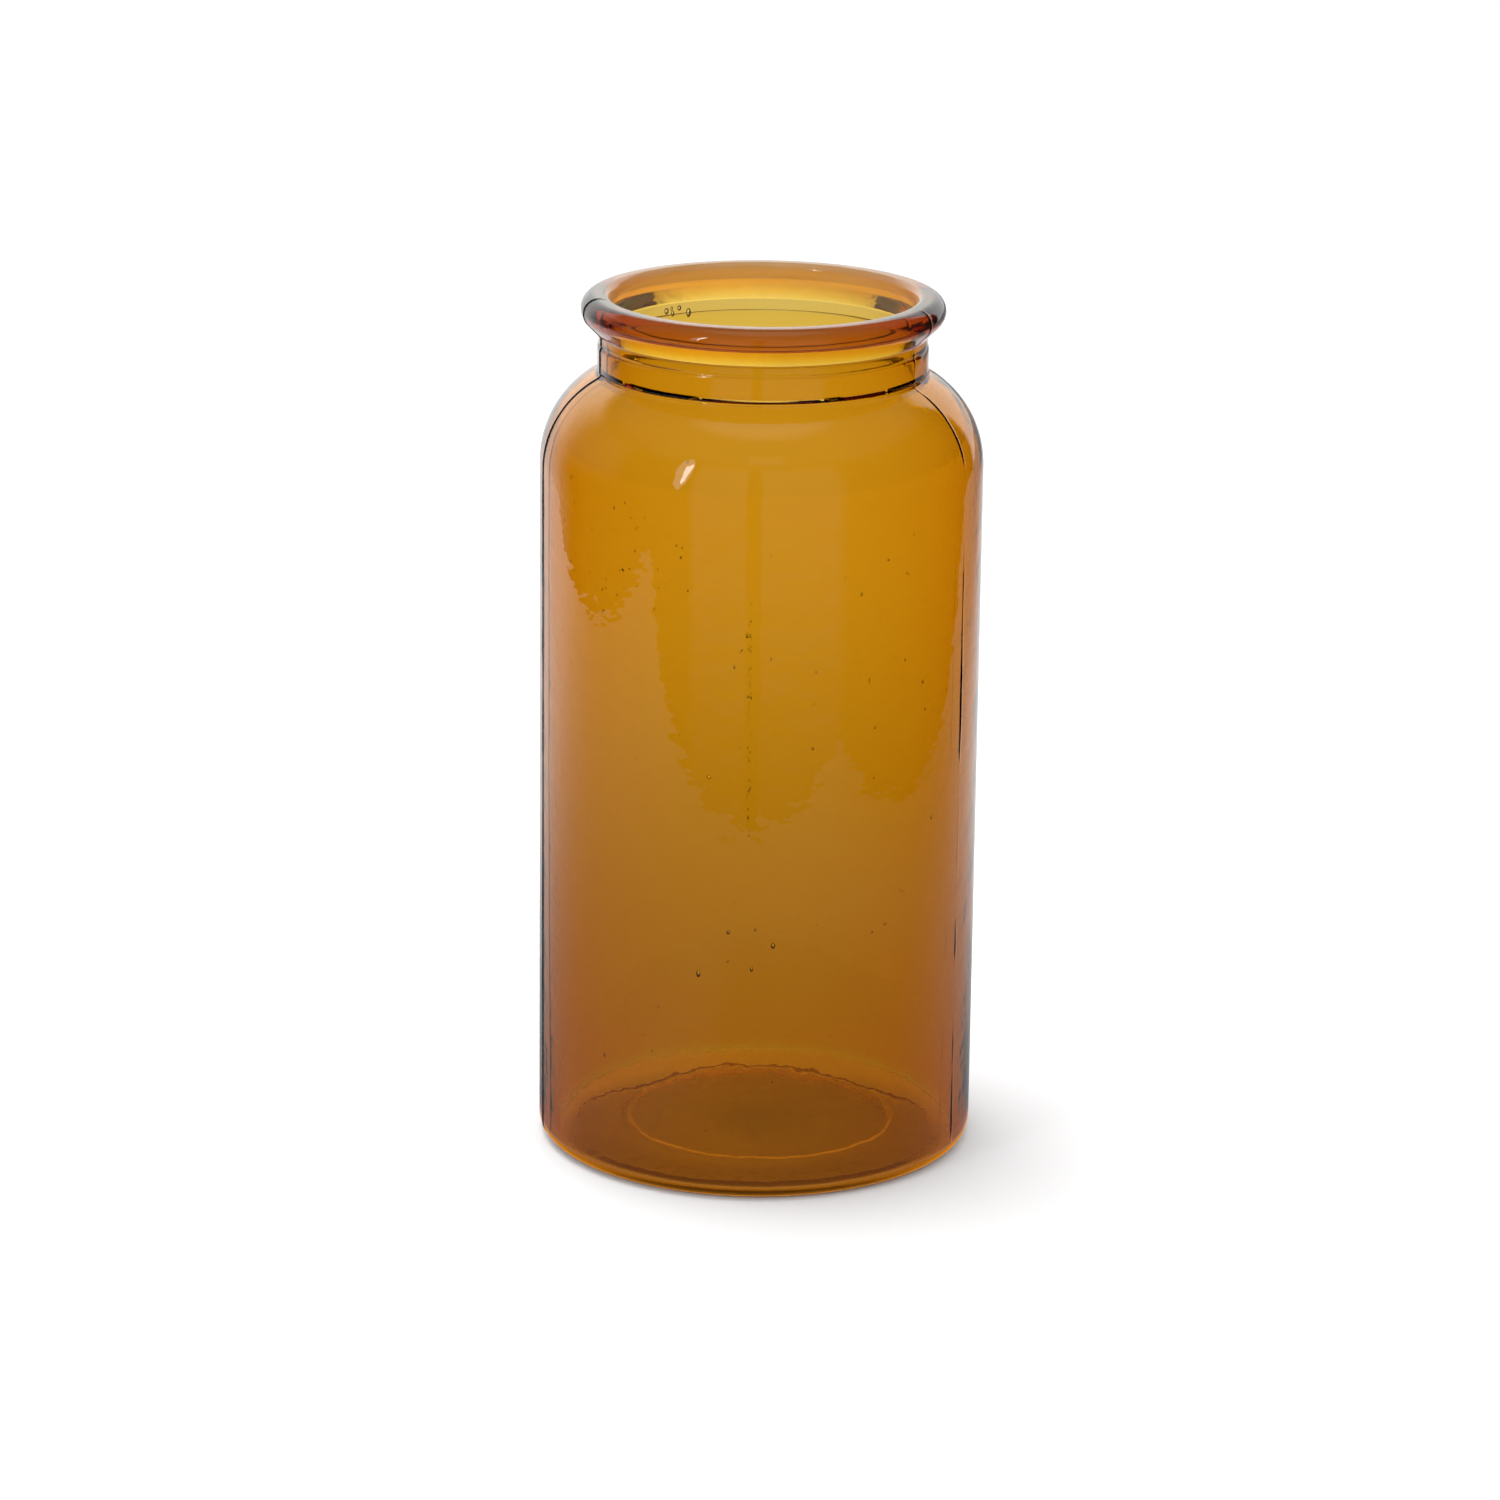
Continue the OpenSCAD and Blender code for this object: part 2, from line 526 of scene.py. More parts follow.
@dataclass
class GlassSection:
    """The section of the glass from its axis outwards, as points with their outward directions."""

    points: list[Point] = field(default_factory=list)
    normals: list[Point] = field(default_factory=list)
    skins: list[Skin] = field(default_factory=list)

    def add(self, point: Point, normal: Point, skin: Skin) -> None:
        """Adds a point unless it repeats the last one.

        Args:
            point: Radius and height, in metres.
            normal: The direction out of the glass there, as radius and height.
            skin: Which side of the glass it is on.
        """
        if self.points and math.dist(self.points[-1], point) < 0.01 * MM:
            return
        self.points.append(point)
        self.normals.append(normal)
        self.skins.append(skin)

    def arc(self, centre: Point, radius: float, start: float, end: float, steps: int,
            skin: Skin, hollow: bool = False) -> None:
        """Adds an arc.

        Args:
            centre: The arc's centre.
            radius: Its radius.
            start: The angle it starts at, in degrees from the radial direction.
            end: The angle it ends at.
            steps: How many pieces it is cut into.
            skin: Which side of the glass it is on.
            hollow: Whether the glass is outside the arc.
        """
        side = -1 if hollow else 1
        for i in range(steps + 1):
            angle = math.radians(start + (end - start) * i / steps)
            way = (math.cos(angle), math.sin(angle))
            point = (centre[0] + radius * way[0], centre[1] + radius * way[1])
            self.add(point, (side * way[0], side * way[1]), skin)

    def line(self, end: Point, spacing: float, skin: Skin) -> None:
        """Adds a straight stretch from the last point, with the glass on its left.

        Args:
            end: Where it ends.
            spacing: The greatest distance between its points.
            skin: Which side of the glass it is on.
        """
        start = self.points[-1]
        length = math.dist(start, end)
        if length < 0.01 * MM:
            return
        normal = ((end[1] - start[1]) / length, -(end[0] - start[0]) / length)
        steps = max(1, math.ceil(length / spacing))
        for i in range(1, steps + 1):
            share = i / steps
            point = (start[0] + (end[0] - start[0]) * share, start[1] + (end[1] - start[1]) * share)
            self.add(point, normal, skin)

    def dome(self, crown: float, edge: Point, steps: int, skin: Skin, inwards: bool) -> None:
        """Adds a shallow dome round the axis.

        Args:
            crown: The dome's height on the axis.
            edge: Its edge.
            steps: How many pieces it is cut into.
            skin: Which side of the glass it is on.
            inwards: Whether it runs from its edge to the axis.
        """
        side = 1 if inwards else -1
        rise = edge[1] - crown
        for i in range(steps + 1):
            share = 1 - i / steps if inwards else i / steps
            turn = share * math.pi / 2
            slope = rise / edge[0] * math.sin(turn) * math.pi / 2
            length = math.hypot(1, slope)
            point = (edge[0] * share, crown + rise * (1 - math.cos(turn)))
            self.add(point, (-side * slope / length, side / length), skin)


@dataclass(frozen=True)
class SeedPatch:
    """A stretch of glass with seeds in it; azimuths are in degrees from the front."""

    name: str
    count: int
    azimuths: tuple[float, float]
    heights: tuple[float, float]
    radius: float
    spread: float
    smallest: float
    largest: float


@dataclass
class MouldedJar:
    """The jar: its section turned round its axis, with mould seams, ripples and seeds.

    A ramp gives the places where a change begins and where it is full.
    """

    TREE_SIZES: ClassVar[tuple[str, ...]] = (
        "columns", "seam_azimuth", "seam_columns", "seam_height", "seam_width", "second_seam",
        "second_seam_turn", "joint_groove", "root_groove", "lap_height", "ripple_height",
        "swell_height", "settle_height", "fold_back", "fold_side", "fold_raggedness", "fold_ridge",
        "fold_drop",
    )

    height: float
    body_radius: float
    mouth_radius: float
    finish: AmberGlass = AmberGlass()
    wall: float = 4.2 * MM
    wall_settle: float = 1.7 * MM
    settle_top: float = 175 * MM
    shoulder_radius: float = 34.5 * MM
    shoulder_thinning: float = 0.8 * MM
    neck_radius: float = 56.1 * MM
    neck_step: float = 0.35 * MM
    neck_joint_drop: float = 17 * MM
    neck_root_drop: float = 27 * MM
    neck_fillet: float = 1.5 * MM
    mouth_corner: float = 5 * MM
    rim_outer_radius: float = 62.15 * MM
    rim_curve: float = 5 * MM
    lip_curve: float = 2.5 * MM
    heel_curve: float = 6.5 * MM
    floor_corner: float = 2 * MM
    floor_thickness: float = 4.6 * MM
    floor_edge_thickness: float = 3.2 * MM
    floor_flat_radius: float = 50 * MM
    recess_radius: float = 46.5 * MM
    recess_edge: float = 1 * MM
    recess_step: float = 0.3 * MM
    recess_depth: float = 1.3 * MM
    columns: int = 336
    seam_columns: int = 14
    outer_spacing: float = 4.5 * MM
    inner_spacing: float = 8 * MM
    seam_azimuth: float = math.radians(-77)
    seam_height: float = 0.4 * MM
    seam_width: float = 0.6 * MM
    second_seam: float = 0.75
    second_seam_turn: float = math.radians(142)
    joint_groove: float = 0.3 * MM
    root_groove: float = 0.3 * MM
    groove_width: float = 0.5 * MM
    lap_drop: float = 28.1 * MM
    lap_height: float = 0.36 * MM
    joint_lap: float = 0.3
    lap_width: float = 0.6 * MM
    ripple_height: float = 0.03 * MM
    swell_height: float = 0.06 * MM
    settle_height: float = 0.2 * MM
    fold_nominal: float = 56 * MM
    fold_reach: float = 3 * MM
    fold_back: float = 48 * MM
    fold_side: float = 62 * MM
    fold_raggedness: float = 3.0 * MM
    fold_ridge: float = 0.5 * MM
    fold_ridge_width: float = 0.9 * MM
    fold_drop: float = 0.6 * MM
    fold_drop_width: float = 1.6 * MM
    fold_turn: Ramp = (0.05, 0.6)
    fold_fade: Ramp = (0.25, -0.15)
    fold_gather: float = 20 * MM

    def section(self) -> GlassSection:
        """Works out the section of the glass, round from the foot's centre to the floor's.

        Returns:
            The section.
        """
        s = GlassSection()
        low_neck = self.neck_radius + self.neck_step
        shoulder_x = self.body_radius - self.shoulder_radius
        shoulder = (
            shoulder_x,
            self.height - self.neck_root_drop
            - math.sqrt(self.shoulder_radius ** 2 - (low_neck - shoulder_x) ** 2),
        )
        s.dome(self.recess_depth, (self.recess_radius, self.recess_step), 8, Skin.FOOT, inwards=False)
        s.line((self.recess_radius + self.recess_edge, 0), MM, Skin.FOOT)
        s.line((self.body_radius - self.heel_curve, 0), 4 * MM, Skin.FOOT)
        s.arc((self.body_radius - self.heel_curve, self.heel_curve), self.heel_curve, -90, 0, 9, Skin.OUTSIDE)
        s.line((self.body_radius, shoulder[1]), self.outer_spacing, Skin.OUTSIDE)

        root = (low_neck + self.neck_fillet, self.touching(
            shoulder, self.shoulder_radius + self.neck_fillet, low_neck + self.neck_fillet))
        root_angle = math.degrees(math.atan2(root[1] - shoulder[1], root[0] - shoulder[0]))
        s.arc(shoulder, self.shoulder_radius, 0, root_angle, 14, Skin.OUTSIDE)
        s.arc(root, self.neck_fillet, 180 + root_angle, 180, 5, Skin.OUTSIDE, hollow=True)
        joint = self.height - self.neck_joint_drop
        s.line((low_neck, root[1] + 2 * MM), 0.4 * MM, Skin.OUTSIDE)
        s.line((low_neck, joint - MM), 2.5 * MM, Skin.OUTSIDE)
        s.line((low_neck, joint), 0.4 * MM, Skin.OUTSIDE)
        s.line((self.neck_radius, joint + 0.3 * MM), MM, Skin.OUTSIDE)
        s.line((self.neck_radius, joint + 1.2 * MM), 0.4 * MM, Skin.OUTSIDE)

        rim = (self.rim_outer_radius - self.rim_curve, self.height - self.rim_curve)
        slope_top = (rim[0] + self.rim_curve * math.sqrt(0.5), rim[1] - self.rim_curve * math.sqrt(0.5))
        slope_foot = slope_top[1] - (slope_top[0] - self.neck_radius)
        fillet = (self.neck_radius + self.neck_fillet, slope_foot - self.neck_fillet * math.tan(math.pi / 8))
        s.line((self.neck_radius, fillet[1]), 2 * MM, Skin.OUTSIDE)
        s.arc(fillet, self.neck_fillet, 180, 135, 5, Skin.OUTSIDE, hollow=True)
        s.arc(rim, self.rim_curve, -45, 90, 18, Skin.OUTSIDE)

        lip = (self.mouth_radius + self.lip_curve, self.height - self.lip_curve)
        s.arc(lip, self.lip_curve, 90, 180, 8, Skin.INSIDE)
        inner_shoulder = self.shoulder_radius - self.wall
        raised = (shoulder[0], shoulder[1] + self.shoulder_thinning)
        corner = (self.mouth_radius + self.mouth_corner, self.touching(
            raised, inner_shoulder + self.mouth_corner, self.mouth_radius + self.mouth_corner))
        corner_angle = math.degrees(math.atan2(corner[1] - raised[1], corner[0] - raised[0]))
        for drop, spacing in ((16.5, 2.0), (19.5, 0.4), (26.0, 2.0)):
            s.line((self.mouth_radius, self.height - drop * MM), spacing * MM, Skin.INSIDE)
        s.line((self.mouth_radius, corner[1]), 0.4 * MM, Skin.INSIDE)
        s.arc(corner, self.mouth_corner, 180, 180 + corner_angle, 16, Skin.INSIDE)
        s.arc(raised, inner_shoulder, corner_angle, 0, 10, Skin.INSIDE, hollow=True)
        s.line((self.body_radius - self.wall, self.settle_top), self.inner_spacing, Skin.INSIDE)
        self.settled_wall(s)
        return s

    def settled_wall(self, s: GlassSection) -> None:
        """Adds the lower wall, which thickens towards the foot, and the floor inside.

        Args:
            s: The section to add to.
        """
        foot_radius = self.body_radius - self.wall - self.wall_settle
        corner = (foot_radius - self.floor_corner, self.floor_edge_thickness + self.floor_corner)
        drop = self.settle_top - corner[1]
        steps = math.ceil(drop / self.inner_spacing)
        for i in range(1, steps + 1):
            share = i / steps
            slope = 2 * self.wall_settle * share / drop
            length = math.hypot(1, slope)
            spot = (self.body_radius - self.wall - self.wall_settle * share * share,
                    self.settle_top - drop * share)
            s.add(spot, (-1 / length, slope / length), Skin.INSIDE)
        s.arc(corner, self.floor_corner, 0, -90, 8, Skin.INSIDE, hollow=True)
        slope = (self.floor_thickness - self.floor_edge_thickness) / (corner[0] - self.floor_flat_radius)
        for radius, spacing in ((self.fold_nominal + self.fold_reach, 2 * MM),
                                (self.fold_nominal - self.fold_reach, 0.4 * MM),
                                (self.floor_flat_radius, 2 * MM)):
            s.line((radius, self.floor_edge_thickness + slope * (corner[0] - radius)), spacing, Skin.FLOOR)
        s.line((0, self.floor_thickness), 5 * MM, Skin.FLOOR)

    @staticmethod
    def touching(centre: Point, reach: float, radius: float) -> float:
        """The height of a curve's centre at some radius, where the curve just touches an arc."""
        return centre[1] + math.sqrt(reach ** 2 - (radius - centre[0]) ** 2)

    def section_object(self, section: GlassSection) -> bpy.types.Object:
        """Makes a chain of vertices along the section, which the wall's tree turns round the axis.

        Args:
            section: The glass's section.

        Returns:
            The chain, with each point's outward direction and side of the glass.
        """
        mesh = bpy.data.meshes.new("glass_section")
        count = len(section.points)
        mesh.from_pydata([(r, 0, z) for r, z in section.points], [(i, i + 1) for i in range(count - 1)], [])
        outward = mesh.attributes.new("outward", "FLOAT_VECTOR", "POINT")
        outward.data.foreach_set("vector", [v for r, z in section.normals for v in (r, 0.0, z)])
        for skin in Skin:
            share = mesh.attributes.new(skin.name.lower(), "FLOAT", "POINT")
            share.data.foreach_set("value", [float(s is skin) for s in section.skins])
        chain = bpy.data.objects.new("glass_section", mesh)
        bpy.context.scene.collection.objects.link(chain)
        return chain

    def wall_book(self, rows: int, material: bpy.types.Material) -> GeometryBook:
        """Builds the tree that turns the section into the jar's wall, with its relief.

        Args:
            rows: How many points the section has.
            material: The glass.

        Returns:
            The tree.
        """
        sizes = {name.replace("_", " ").title(): getattr(self, name) for name in self.TREE_SIZES}
        book = GeometryBook("turned_glass_wall", {"Rows": rows, **sizes, "Seed": 7.0, "Material": material})
        columns = book.plus(book.size("Columns"), 1)
        grid = book.add("GeometryNodeMeshGrid", {"Vertices X": columns, "Vertices Y": book.size("Rows")})
        index = book.add("GeometryNodeInputIndex").outputs[0]
        row = book.math("MODULO", index, book.size("Rows"))
        column = book.math("FLOOR", book.math("DIVIDE", index, book.size("Rows")))
        azimuth = self.crowded(book, column)
        across = book.math("SINE", azimuth)
        ahead = book.times(book.math("COSINE", azimuth), -1.0)

        place = self.sampled(book, row, "position", "FLOAT_VECTOR")
        outward = self.sampled(book, row, "outward", "FLOAT_VECTOR")
        place = self.folded(book, row, place, azimuth)
        spot = self.turned(book, place, across, ahead)
        way = self.turned(book, outward, across, ahead)
        relief = self.relief(book, row, place, spot, azimuth)
        moved = book.vector("ADD", spot, book.vector("SCALE", way, relief))
        wall = book.add("GeometryNodeSetPosition", {"Geometry": grid.outputs[0], "Position": moved})
        closed = book.add("GeometryNodeMergeByDistance", {"Geometry": wall.outputs[0], "Distance": 1e-6})
        smooth = book.add("GeometryNodeSetShadeSmooth", {"Geometry": closed.outputs[0]})
        book.end(smooth.outputs[0])
        return book

    def crowded(self, book: GeometryBook, column: bpy.types.NodeSocket) -> bpy.types.NodeSocket:
        """Works out a column's azimuth, with fine columns at the two seams and even ones between.

        Args:
            book: The wall's tree.
            column: The column's number, from the first seam's side.

        Returns:
            The azimuth.
        """
        half_count = book.times(book.size("Columns"), 0.5)
        half = book.math("MINIMUM", book.math("FLOOR", book.math("DIVIDE", column, half_count)), 1.0)
        local = book.math("SUBTRACT", column, book.times(half, half_count))
        fine = book.math("MINIMUM", local, book.size("Seam Columns"))
        coarse = book.math("SUBTRACT", local, fine)
        reach = book.times(book.size("Seam Width"), 2.5 / self.body_radius)
        fine_step = book.math("DIVIDE", book.times(reach, 2.0), book.size("Seam Columns"))
        first = book.times(book.rest(half), book.size("Second Seam Turn"))
        other = book.math("SUBTRACT", 2 * math.pi, book.size("Second Seam Turn"))
        arc = book.math("MULTIPLY_ADD", half, other, first)
        span = book.math("MULTIPLY_ADD", reach, -2.0, arc)
        coarse_step = book.math(
            "DIVIDE", span, book.math("SUBTRACT", half_count, book.size("Seam Columns")))
        turn = book.math("MULTIPLY_ADD", fine, fine_step, book.times(coarse, coarse_step))
        start = book.math("SUBTRACT", book.size("Seam Azimuth"), reach)
        return book.plus(book.math("MULTIPLY_ADD", half, book.size("Second Seam Turn"), start), turn)

    def folded(self, book: GeometryBook, row: bpy.types.NodeSocket, place: bpy.types.NodeSocket,
               azimuth: bpy.types.NodeSocket) -> bpy.types.NodeSocket:
        """Lays the ragged fold into the floor, where the glass has settled over itself.

        The floor's fine rows follow the fold, which is near the wall at the front and sides and
        farther in at the back. It is a low ridge with a small drop behind it.

        Args:
            book: The wall's tree.
            row: The section's row.
            place: The point's radius and height.
            azimuth: Its azimuth.

        Returns:
            The point's new radius and height.
        """
        seed = book.size("Seed")
        radius, _, height = book.split(place)
        ahead = book.math("COSINE", azimuth)
        around = book.combine(book.math("SINE", azimuth), ahead, 0.0)
        backness = book.smooth_step(book.times(ahead, -1.0), *self.fold_turn)
        gap = book.math("SUBTRACT", book.size("Fold Back"), book.size("Fold Side"))
        line = book.math("MULTIPLY_ADD", backness, gap, book.size("Fold Side"))
        broad = book.times(book.noise(around, 2.2, 1.0, seed), 2.0)
        teeth = book.plus(broad, book.noise(around, 11.0, 3.0, seed))
        shift = book.math("MULTIPLY_ADD", teeth, book.size("Fold Raggedness"), line)
        shift = book.math("SUBTRACT", shift, self.fold_nominal)
        rise = book.add("ShaderNodeMapRange", {
            0: radius, 1: self.fold_gather, 2: self.fold_nominal - self.fold_reach}).outputs[0]
        last = self.body_radius - self.wall - self.wall_settle - self.floor_corner
        fall = book.add("ShaderNodeMapRange", {
            0: radius, 1: self.fold_nominal + self.fold_reach, 2: last}).outputs[0]
        floor = self.sampled(book, row, "floor", "FLOAT")
        share = book.times(book.math("SUBTRACT", rise, fall), floor)
        raised = book.times(floor, book.smooth_step(ahead, *self.fold_fade))
        away = book.math("SUBTRACT", radius, self.fold_nominal)
        left = book.rest(fall)
        drop = book.times(
            book.smooth_step(away, 0.0, self.fold_drop_width), book.size("Fold Drop"), book.times(left, left))
        wear = book.plus(book.noise(around, 4.0, 2.0, seed), 1.0)
        crest = book.bell(book.math("DIVIDE", away, self.fold_ridge_width))
        ridge = book.times(crest, wear, book.size("Fold Ridge"))
        step = book.times(book.math("SUBTRACT", ridge, drop), raised)
        return book.combine(book.math("MULTIPLY_ADD", shift, share, radius), 0.0, book.plus(height, step))

    @staticmethod
    def sampled(book: GeometryBook, row: bpy.types.NodeSocket, name: str, kind: str) -> bpy.types.NodeSocket:
        """Reads a value of the section at a row.

        Args:
            book: The wall's tree.
            row: The row's number.
            name: The attribute's name.
            kind: Its type, FLOAT or FLOAT_VECTOR.

        Returns:
            The value's socket.
        """
        value = book.add("GeometryNodeInputNamedAttribute", {"Name": name}, data_type=kind)
        sample = book.add(
            "GeometryNodeSampleIndex",
            {"Geometry": book.size("Geometry"), "Value": value.outputs[0], "Index": row},
            data_type=kind,
        )
        return sample.outputs[0]

    @staticmethod
    def turned(book: GeometryBook, flat: bpy.types.NodeSocket, across: bpy.types.NodeSocket,
               ahead: bpy.types.NodeSocket) -> bpy.types.NodeSocket:
        """Turns a vector of the section round the axis, by the shares that go along X and Y."""
        radius, _, height = book.split(flat)
        return book.combine(book.times(radius, across), book.times(radius, ahead), height)

    def relief(self, book: GeometryBook, row: bpy.types.NodeSocket, place: bpy.types.NodeSocket,
               spot: bpy.types.NodeSocket, azimuth: bpy.types.NodeSocket) -> bpy.types.NodeSocket:
        """Adds up how far the glass stands out of its section at each point.

        Args:
            book: The wall's tree.
            row: The section's row.
            place: The point's radius and height.
            spot: The point's place round the axis.
            azimuth: Its azimuth.

        Returns:
            The relief's socket.
        """
        outside = self.sampled(book, row, "outside", "FLOAT")
        inside = self.sampled(book, row, "inside", "FLOAT")
        seed = book.size("Seed")
        radius, _, height = book.split(place)
        worn = book.plus(book.noise(spot, 90.0, 2.0, seed), 1.0)
        turn = book.math("SUBTRACT", azimuth, book.size("Seam Azimuth"))
        broken = book.smooth_step(book.noise(spot, 28.0, 3.0, seed), -0.02, 0.12)
        second = book.times(broken, book.size("Second Seam"))
        bells = book.math(
            "MULTIPLY_ADD",
            self.seam_bell(book, book.math("SUBTRACT", turn, book.size("Second Seam Turn")), radius),
            second,
            self.seam_bell(book, turn, radius),
        )
        seam = book.times(bells, worn, book.size("Seam Height"))
        ripple = book.times(book.noise(spot, 110.0, 2.0, seed), book.size("Ripple Height"))
        swell = book.times(book.noise(spot, 16.0, 1.0, seed), book.size("Swell Height"))
        skin = book.plus(ripple, swell, seam)
        for level, label in ((self.height - self.neck_joint_drop, "Joint Groove"),
                             (self.height - self.neck_root_drop + 0.8 * MM, "Root Groove")):
            off = book.math("DIVIDE", book.math("SUBTRACT", height, level), self.groove_width)
            skin = book.math("SUBTRACT", skin, book.times(book.bell(off), worn, book.size(label)))
        stretched = book.vector("MULTIPLY", spot, (1.0, 1.0, 0.35))
        settle = book.times(book.noise(stretched, 30.0, 2.0, seed), book.size("Settle Height"))
        outside = book.times(outside, book.smooth_step(height, 0.0, 6 * MM))
        inner = book.plus(inside, self.sampled(book, row, "floor", "FLOAT"))
        for drop, share in ((self.lap_drop, 1.0), (self.neck_joint_drop + 0.9 * MM, self.joint_lap)):
            off = book.math("DIVIDE", book.math("SUBTRACT", height, self.height - drop), self.lap_width)
            lap = book.times(book.bell(off), worn, inside)
            settle = book.math("MULTIPLY_ADD", lap, book.times(book.size("Lap Height"), share), settle)
        return book.plus(book.times(skin, outside), book.times(settle, inner))

    @staticmethod
    def seam_bell(book: GeometryBook, turn: bpy.types.NodeSocket,
                  radius: bpy.types.NodeSocket) -> bpy.types.NodeSocket:
        """Works out the outline of a mould seam at a turn from it, 1 on its crest."""
        away = book.math("DIVIDE", book.times(book.math("SINE", turn), radius), book.size("Seam Width"))
        return book.times(book.bell(away), book.math("GREATER_THAN", book.math("COSINE", turn), 0.0))

    def seed_patches(self) -> list[SeedPatch]:
        """Lists where the seeds lie: all through the body, in a cloud, in a string and in the neck.

        Returns:
            The patches.
        """
        middle = self.body_radius - 0.55 * self.wall
        spread = 0.35 * self.wall
        neck = self.neck_radius - 0.5 * (self.neck_radius - self.mouth_radius)
        return [
            SeedPatch("seeds_all_round", 150, (-180, 180), (22 * MM, 238 * MM), middle, spread,
                      0.15 * MM, 0.5 * MM),
            SeedPatch("seeds_in_a_cloud", 70, (-62, -18), (205 * MM, 246 * MM), middle, spread,
                      0.1 * MM, 0.34 * MM),
            SeedPatch("seeds_in_a_string", 60, (-2.8, -1.9), (128 * MM, 215 * MM), middle, 0.1 * MM,
                      0.14 * MM, 0.34 * MM),
            SeedPatch("blisters_in_front", 5, (-28, 6), (78 * MM, 102 * MM), middle, spread,
                      0.4 * MM, 0.9 * MM),
            SeedPatch("blisters_in_neck", 5, (-157, -140), (283 * MM, 286 * MM), neck, 0.2 * MM,
                      0.5 * MM, 1.1 * MM),
        ]

    def seed_book(self, patch: SeedPatch, material: bpy.types.Material) -> GeometryBook:
        """Builds the tree that scatters one patch of seeds, the small bubbles in the glass.

        Args:
            patch: Where the seeds lie and how large they are.
            material: The glass.

        Returns:
            The tree.
        """
        book = GeometryBook(patch.name, {
            "Count": patch.count,
            "Seed": 11,
            "First Azimuth": math.radians(patch.azimuths[0]),
            "Last Azimuth": math.radians(patch.azimuths[1]),
            "Lowest": patch.heights[0],
            "Highest": patch.heights[1],
            "Wall Middle": patch.radius,
            "Spread": patch.spread,
            "Smallest": patch.smallest,
            "Largest": patch.largest,
            "Material": material,
        })
        points = book.add("GeometryNodePoints", {"Count": book.size("Count")}).outputs[0]
        turn = self.chance(book, book.size("First Azimuth"), book.size("Last Azimuth"), 0)
        height = self.chance(book, book.size("Lowest"), book.size("Highest"), 1)
        depth = book.times(self.chance(book, -1.0, 1.0, 2), book.size("Spread"))
        radius = book.plus(book.size("Wall Middle"), depth)
        spot = book.combine(
            book.times(radius, book.math("SINE", turn)),
            book.times(radius, book.math("COSINE", turn), -1.0),
            height,
        )
        placed = book.add("GeometryNodeSetPosition", {"Geometry": points, "Position": spot})
        rare = book.math("POWER", self.chance(book, 0.0, 1.0, 3), 3.0)
        reach = book.math("SUBTRACT", book.size("Largest"), book.size("Smallest"))
        size = book.math("MULTIPLY_ADD", rare, reach, book.size("Smallest"))
        tall = book.times(size, self.chance(book, 1.0, 2.0, 4))
        ball = book.add("GeometryNodeMeshUVSphere", {"Segments": 7, "Rings": 5, "Radius": 1.0})
        hollow = book.add("GeometryNodeFlipFaces", {"Mesh": ball.outputs["Mesh"]})
        smooth = book.add("GeometryNodeSetShadeSmooth", {"Geometry": hollow.outputs[0]})
        scattered = book.add("GeometryNodeInstanceOnPoints", {
            "Points": placed.outputs[0],
            "Instance": smooth.outputs[0],
            "Scale": book.combine(size, size, tall),
        })
        book.end(scattered.outputs[0])
        return book

    @staticmethod
    def chance(book: GeometryBook, low: Any, high: Any, draw: int) -> bpy.types.NodeSocket:
        """Draws a random number for each point. Each draw's number gives another."""
        inputs = {2: low, 3: high, "Seed": book.plus(book.size("Seed"), float(draw))}
        return book.add("FunctionNodeRandomValue", inputs, data_type="FLOAT").outputs[1]

    def build(self) -> bpy.types.Object:
        """Makes the jar in one mesh and hangs it on the frame.

        Returns:
            The jar.
        """
        material = self.finish.make()
        section = self.section()
        chain = self.section_object(section)
        wall = self.wall_book(len(section.points), material).run(chain)
        seeds = [self.seed_book(patch, material).run(chain) for patch in self.seed_patches()]
        bpy.data.objects.remove(chain)
        jar = bpy.data.objects.new("jar_glass", self.joined("jar_glass", (wall, *seeds), material))
        bpy.context.scene.collection.objects.link(jar)
        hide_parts(JAR_NODE)
        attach(jar, ROOT_BODY)
        return jar

    @staticmethod
    def joined(name: str, parts: Sequence[bpy.types.Mesh], material: bpy.types.Material) -> bpy.types.Mesh:
        """Joins meshes into one.

        Args:
            name: The new mesh's name.
            parts: The meshes.
            material: The material that they share.

        Returns:
            The joined mesh.
        """
        work = bmesh.new()
        for part in parts:
            work.from_mesh(part)
        mesh = bpy.data.meshes.new(name)
        work.to_mesh(mesh)
        work.free()
        mesh.materials.append(material)
        return mesh


# --------------------------------------------------------------------------------------
# The studio
# --------------------------------------------------------------------------------------


class SeenBy(Enum):
    """Which rays a card of the studio shows itself to."""

    MIRROR = "mirror"
    THROUGH_GLASS = "through glass"


@dataclass(frozen=True)
class Panel:
    """A flat glowing card that lies at the table's height."""

    outline: tuple[Point, ...]
    finish: Glow
    seen_by: SeenBy = SeenBy.MIRROR
    height: float = -0.2 * MM

    def build(self) -> bpy.types.Object:
        """Makes the card and hides it from all rays but its own kind.

        Returns:
            The card.
        """
        mesh = bpy.data.meshes.new(self.finish.name)
        corners = [(x, y, self.height) for x, y in self.outline]
        mesh.from_pydata(corners, [], [tuple(range(len(corners)))])
        mesh.materials.append(self.finish.make())
        card = bpy.data.objects.new(self.finish.name, mesh)
        card.visible_camera = card.visible_diffuse = card.visible_shadow = False
        card.visible_glossy = self.seen_by is SeenBy.MIRROR
        card.visible_transmission = self.seen_by is SeenBy.THROUGH_GLASS
        bpy.context.scene.collection.objects.link(card)
        return card


